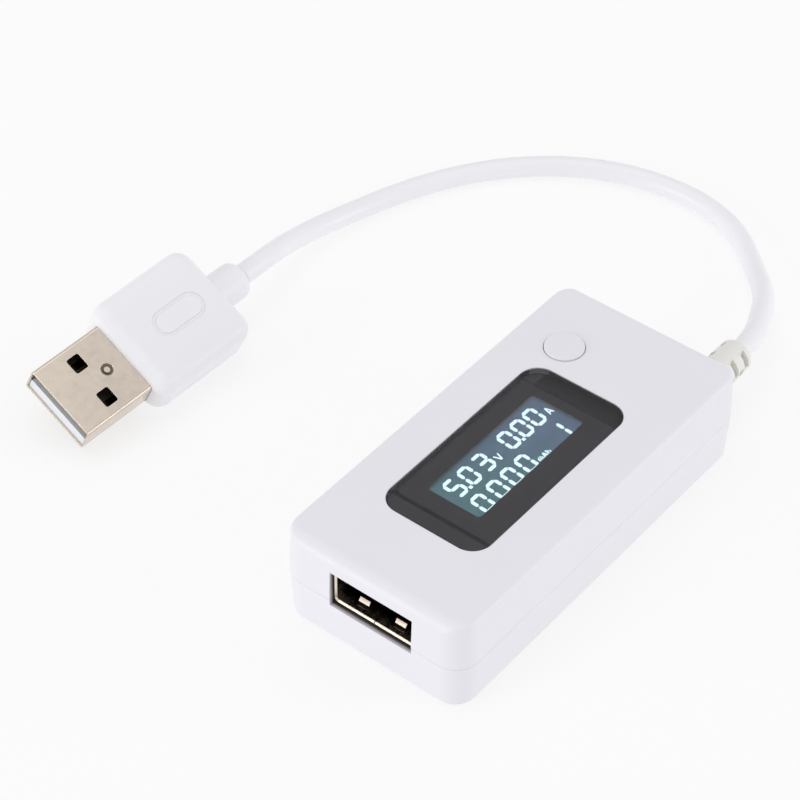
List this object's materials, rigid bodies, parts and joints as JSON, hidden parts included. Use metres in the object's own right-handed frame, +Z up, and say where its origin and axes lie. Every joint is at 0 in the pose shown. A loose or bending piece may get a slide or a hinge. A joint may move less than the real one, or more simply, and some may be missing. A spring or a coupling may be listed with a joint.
{
  "type": "usb power meter",
  "caption": "Pass-through power meter: a two-shell housing with a small lit display, a reset button and a socket, on a short lead with a moulded plug.",
  "frame": {"origin": "bottom centre of the housing, on the surface it lies on", "axes": "+X along the housing from the socket end to the lead end, +Y towards the tops of the display's digits, +Z up out of the display"},
  "size_m": [0.1047, 0.0822, 0.0154],
  "materials": {
    "case_plastic": "satin moulded",
    "button_plastic": "satin moulded",
    "smoked_lens": "polished",
    "border_ink": "printed",
    "display_glass": "polished",
    "display_film": "lit",
    "light_panel": "diffuse lit",
    "carrier_plastic": "moulded",
    "contact_rubber": "matte",
    "led_body": "moulded",
    "board_laminate": "solder mask",
    "chip_epoxy": "moulded",
    "tinned_metal": "satin",
    "resistor_body": "glazed",
    "ceramic_body": "ceramic",
    "tantalum_body": "moulded",
    "switch_plastic": "moulded",
    "switch_metal": "stamped",
    "nickel_plate": "nickel plated",
    "tongue_plastic": "moulded",
    "gold_plate": "gold plated",
    "relief_rubber": "satin",
    "lead_jacket": "satin",
    "wire_red_skin": "satin",
    "wire_white_skin": "satin",
    "wire_green_skin": "satin",
    "wire_black_skin": "satin",
    "plug_vinyl": "satin",
    "insulator_plastic": "moulded"
  },
  "bodies": {
    "housing": {"top_cover": "case_plastic", "bottom_cover": "case_plastic", "display_lens": "smoked_lens", "lens_border": "border_ink", "lcd_front_glass": "display_glass", "lcd_rear_glass": "display_glass", "lcd_segments": "display_film", "backlight_panel": "light_panel", "display_carrier": "carrier_plastic", "contact_strip": "contact_rubber", "backlight_led": "led_body", "circuit_board": "board_laminate", "meter_chip": "chip_epoxy", "meter_chip_leads": "tinned_metal", "voltage_regulator": "chip_epoxy", "voltage_regulator_leads": "tinned_metal", "shunt_resistor": "resistor_body", "chip_resistors": "resistor_body", "chip_capacitors": "ceramic_body", "filter_capacitor": "tantalum_body", "switch_base": "switch_plastic", "switch_plate": "switch_metal", "switch_dome": "switch_metal", "switch_legs": "tinned_metal", "socket_shell": "nickel_plate", "socket_tongue": "tongue_plastic", "socket_contacts": "gold_plate", "strain_relief": "relief_rubber", "lead_inner_end": "lead_jacket", "wire_red": "wire_red_skin", "wire_white": "wire_white_skin", "wire_green": "wire_green_skin", "wire_black": "wire_black_skin", "solder_joints": "tinned_metal", "plug_overmould": "plug_vinyl", "plug_shell": "nickel_plate", "plug_insulator": "insulator_plastic", "plug_contacts": "gold_plate", "lead": "lead_jacket"},
    "button": {"button_cap": "button_plastic"},
    "plunger": {"switch_plunger": "switch_plastic"}
  },
  "joints": [
    {"name": "button_press", "type": "slide", "parent": "housing", "child": "button", "axis": [0, 0, -1], "range_m": [0, 0.0003], "stiffness_N_per_m": 400, "springref_m": -0.0005},
    {"name": "plunger_press", "type": "slide", "parent": "housing", "child": "plunger", "axis": [0, 0, -1], "range_m": [0, 0.0003], "stiffness_N_per_m": 200, "springref_m": -0.0005, "deforming": ["switch_dome"]}
  ],
  "couplings": [
    {"joint": "plunger_press", "follows": "button_press", "ratio": 1}
  ]
}
